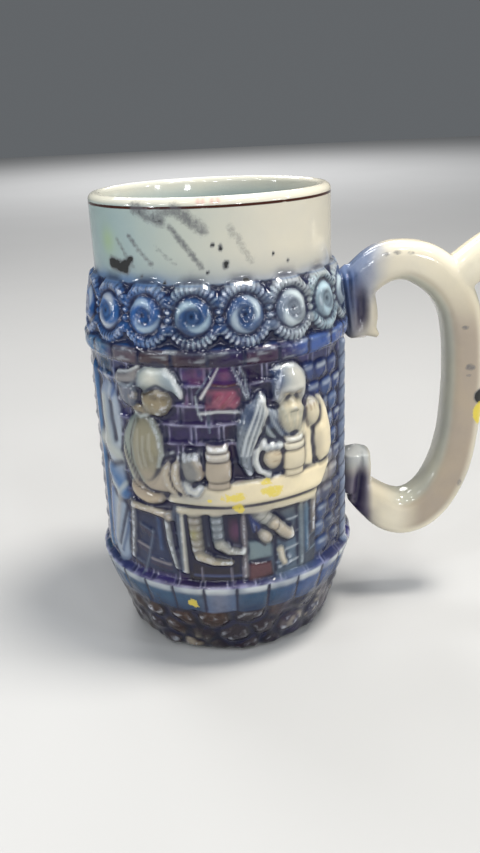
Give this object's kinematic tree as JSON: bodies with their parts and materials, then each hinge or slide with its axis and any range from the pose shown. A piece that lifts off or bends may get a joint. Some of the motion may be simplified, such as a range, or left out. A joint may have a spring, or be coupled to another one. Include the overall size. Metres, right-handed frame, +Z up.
{
  "type": "relief beer mug",
  "caption": "Porcelain drinking mug with a tavern scene in relief, a rosette garland, a stone foot and a scrolled handle with a thumb rest; stands on its underside.",
  "frame": {"origin": "centre of the underside, on the mug's axis, level with the foot ring it stands on", "axes": "+Z up along the mug's axis, +X towards the handle, -Y towards the relief scene"},
  "size_m": [0.1491, 0.0949, 0.157],
  "materials": {
    "glazed_porcelain": "gloss glaze"
  },
  "bodies": {
    "root": {"mug": "glazed_porcelain"}
  },
  "joints": []
}
